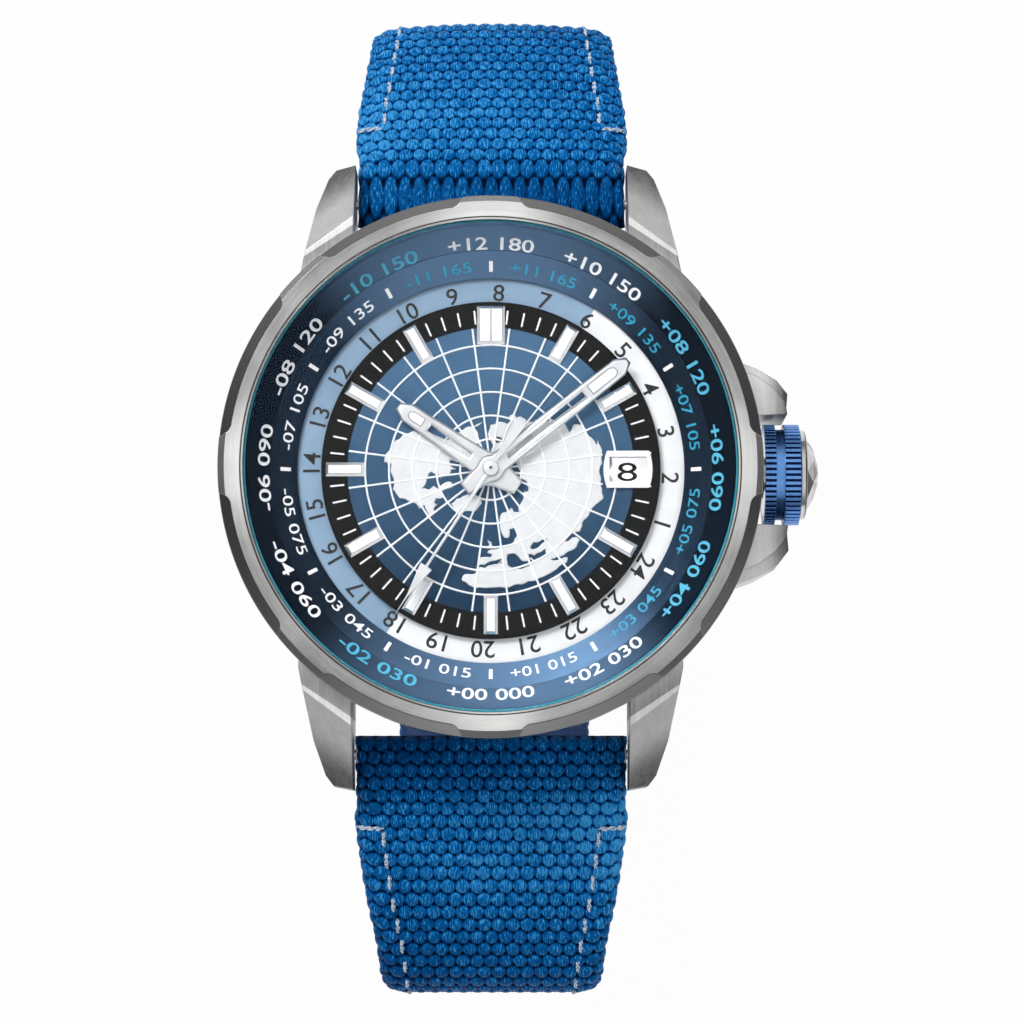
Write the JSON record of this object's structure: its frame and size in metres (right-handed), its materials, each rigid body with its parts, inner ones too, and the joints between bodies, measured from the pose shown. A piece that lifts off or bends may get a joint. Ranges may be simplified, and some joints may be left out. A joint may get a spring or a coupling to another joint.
{
  "type": "gmt wristwatch",
  "caption": "Automatic wristwatch with an hour ring for a second time zone, world map dial, knurled crown and blue woven strap.",
  "frame": {"origin": "on the hands' axis, in the plane of the case back's outer face", "axes": "+Z out of the dial towards the viewer, +Y towards 12 o'clock, +X towards the crown"},
  "size_m": [0.0478, 0.0796, 0.0649],
  "materials": {
    "case_steel": "fine brushing with polished bevels",
    "polished_steel": "polished",
    "case_crystal": "clear, domed edge",
    "gasket": "matt",
    "teal_gasket": "matt",
    "blue_ring": "circular brushing under clear lacquer",
    "dial_blue": "satin lacquer",
    "white_paint": "satin",
    "marker_white": "satin with bevelled edges",
    "hour_ring": "half white, half slate blue",
    "plate_rhodium": "fine grained with striped finish",
    "gilt": "gilt, circular grained",
    "blued_steel": "heat blued",
    "ruby": "polished",
    "movement_steel": "fine grained",
    "grip_blue": "blue anodised",
    "strap_cloth": "basket weave, saturated blue"
  },
  "bodies": {
    "case": {"mid_case": "case_steel", "bezel": "case_steel", "crystal": "case_crystal", "crystal_gasket": "teal_gasket", "case_back": "case_steel", "back_window": "case_crystal", "back_gasket": "gasket", "case_tube": "polished_steel", "lug_bars": "case_steel", "city_ring": "blue_ring", "dial": "dial_blue", "world_map": "white_paint", "hour_markers": "marker_white", "date_frame": "marker_white", "movement_ring": "movement_steel", "main_plate": "plate_rhodium", "train_bridge": "plate_rhodium", "barrel_bridge": "plate_rhodium", "balance_cock": "plate_rhodium", "pallet_bridge": "plate_rhodium", "calendar_plate": "plate_rhodium", "movement_screws": "blued_steel", "jewels": "ruby", "rotor_bearing": "movement_steel"},
    "minute_group": {"minute_hand": "marker_white", "cannon_pinion": "movement_steel", "centre_wheel": "gilt"},
    "hour_group": {"hour_hand": "marker_white", "hour_wheel": "gilt", "ring_driver": "gilt"},
    "seconds_group": {"seconds_hand": "marker_white", "fourth_wheel": "gilt"},
    "third_group": {"third_wheel": "gilt"},
    "escape_group": {"escape_wheel": "movement_steel"},
    "lever": {"pallet_fork": "movement_steel"},
    "balance": {"balance_wheel": "gilt", "hairspring": "blued_steel"},
    "barrel_group": {"barrel": "gilt", "mainspring": "movement_steel"},
    "ratchet": {"ratchet_wheel": "movement_steel"},
    "crown_wheel_group": {"crown_wheel": "movement_steel"},
    "winding": {"winding_pinions": "movement_steel"},
    "minute_wheel_group": {"minute_wheel": "gilt"},
    "inner_idler_group": {"inner_idler": "gilt"},
    "outer_idler_group": {"outer_idler": "gilt"},
    "hour_ring_group": {"hour_ring": "hour_ring"},
    "date_ring_group": {"date_ring": "white_paint"},
    "date_wheel_group": {"date_wheel": "gilt"},
    "rotor_group": {"rotor": "plate_rhodium"},
    "crown_group": {"crown": "polished_steel", "crown_grip": "grip_blue", "crown_gasket": "gasket", "stem": "polished_steel"},
    "upper_strap": {"strap_12": "strap_cloth", "fixed_keeper": "strap_cloth"},
    "lower_strap": {"strap_6": "strap_cloth"},
    "buckle_group": {"buckle": "case_steel", "buckle_bar": "case_steel"},
    "tongue": {"buckle_tongue": "case_steel"},
    "keeper": {"sliding_keeper": "strap_cloth"}
  },
  "joints": [
    {"name": "minute_turn", "type": "hinge", "parent": "case", "child": "minute_group", "pos_m": [0, 0, 0.0092], "axis": [0, 0, -1], "continuous": true},
    {"name": "hour_turn", "type": "hinge", "parent": "case", "child": "hour_group", "pos_m": [0, 0, 0.0089], "axis": [0, 0, -1], "continuous": true},
    {"name": "seconds_turn", "type": "hinge", "parent": "case", "child": "seconds_group", "pos_m": [0, 0, 0.0096], "axis": [0, 0, -1], "continuous": true},
    {"name": "third_turn", "type": "hinge", "parent": "case", "child": "third_group", "pos_m": [-0.00123, 0.00338, 0.0042], "axis": [0, 0, -1], "continuous": true},
    {"name": "escape_turn", "type": "hinge", "parent": "case", "child": "escape_group", "pos_m": [-0.00354, -0.00031, 0.0048], "axis": [0, 0, -1], "continuous": true},
    {"name": "barrel_turn", "type": "hinge", "parent": "case", "child": "barrel_group", "pos_m": [0.00277, -0.00595, 0.0052], "axis": [0, 0, -1], "continuous": true},
    {"name": "minute_wheel_turn", "type": "hinge", "parent": "case", "child": "minute_wheel_group", "pos_m": [-0.00346, 0.002, 0.0064], "axis": [0, 0, -1], "continuous": true},
    {"name": "inner_idler_turn", "type": "hinge", "parent": "case", "child": "inner_idler_group", "pos_m": [-0.00508, -0.0065, 0.0073], "axis": [0, 0, -1], "continuous": true},
    {"name": "outer_idler_turn", "type": "hinge", "parent": "case", "child": "outer_idler_group", "pos_m": [-0.00466, -0.01008, 0.0073], "axis": [0, 0, -1], "continuous": true},
    {"name": "hour_ring_turn", "type": "hinge", "parent": "case", "child": "hour_ring_group", "pos_m": [0, 0, 0.0076], "axis": [0, 0, -1], "continuous": true},
    {"name": "date_wheel_turn", "type": "hinge", "parent": "case", "child": "date_wheel_group", "pos_m": [0.00402, -0.00337, 0.0068], "axis": [0, 0, -1], "continuous": true},
    {"name": "date_turn", "type": "hinge", "parent": "case", "child": "date_ring_group", "pos_m": [0, 0, 0.0067], "axis": [0, 0, -1], "continuous": true},
    {"name": "rotor_turn", "type": "hinge", "parent": "case", "child": "rotor_group", "pos_m": [0, 0, 0.0022], "axis": [0, 0, -1], "continuous": true},
    {"name": "crown_turn", "type": "hinge", "parent": "case", "child": "winding", "pos_m": [0.008, 0, 0.0049], "axis": [1, 0, 0], "continuous": true},
    {"name": "crown_wheel_turn", "type": "hinge", "parent": "case", "child": "crown_wheel_group", "pos_m": [0.00647, 0, 0.0031], "axis": [0, 0, -1], "continuous": true},
    {"name": "ratchet_turn", "type": "hinge", "parent": "case", "child": "ratchet", "pos_m": [0.00277, -0.00595, 0.0031], "axis": [0, 0, -1], "continuous": true},
    {"name": "crown_pull", "type": "slide", "parent": "winding", "child": "crown_group", "axis": [1, 0, 0], "range_m": [0, 0.0012]},
    {"name": "lever_swing", "type": "hinge", "parent": "case", "child": "lever", "pos_m": [-0.0057, -0.0011, 0.0048], "axis": [0, 0, 1], "range_deg": [-6, 6]},
    {"name": "balance_swing", "type": "hinge", "parent": "case", "child": "balance", "pos_m": [-0.00852, -0.00212, 0.0041], "axis": [0, 0, 1], "range_deg": [-270, 270], "stiffness_Nm_per_rad": 0.0000003, "deforming": ["hairspring"]},
    {"name": "upper_strap_fold", "type": "hinge", "parent": "case", "child": "upper_strap", "pos_m": [0, 0.0224, 0.003], "axis": [1, 0, 0], "range_deg": [-1, 60]},
    {"name": "lower_strap_fold", "type": "hinge", "parent": "case", "child": "lower_strap", "pos_m": [0, -0.0224, 0.003], "axis": [-1, 0, 0], "range_deg": [-1, 60]},
    {"name": "buckle_fold", "type": "hinge", "parent": "upper_strap", "child": "buckle_group", "pos_m": [0, 0.01696, -0.05085], "axis": [1, 0, 0], "range_deg": [-2, 60]},
    {"name": "tongue_fold", "type": "hinge", "parent": "buckle_group", "child": "tongue", "pos_m": [0, 0.01696, -0.05085], "axis": [1, 0, 0], "range_deg": [0, 70]},
    {"name": "keeper_slide", "type": "hinge", "parent": "upper_strap", "child": "keeper", "pos_m": [0, 0.01846, -0.03085], "axis": [1, 0, 0], "range_deg": [0, 25]}
  ],
  "couplings": [
    {"joint": "hour_turn", "follows": "minute_turn", "ratio": 0.083333},
    {"joint": "seconds_turn", "follows": "minute_turn", "ratio": 60},
    {"joint": "third_turn", "follows": "minute_turn", "ratio": -8},
    {"joint": "escape_turn", "follows": "minute_turn", "ratio": -720},
    {"joint": "barrel_turn", "follows": "minute_turn", "ratio": -0.13889},
    {"joint": "minute_wheel_turn", "follows": "minute_turn", "ratio": -0.33333},
    {"joint": "inner_idler_turn", "follows": "minute_turn", "ratio": -0.29861},
    {"joint": "outer_idler_turn", "follows": "minute_turn", "ratio": 0.29861},
    {"joint": "hour_ring_turn", "follows": "minute_turn", "ratio": 0.041667},
    {"joint": "date_wheel_turn", "follows": "minute_turn", "ratio": -0.041667},
    {"joint": "crown_wheel_turn", "follows": "crown_turn", "ratio": -0.58333},
    {"joint": "ratchet_turn", "follows": "crown_turn", "ratio": 0.30435}
  ]
}
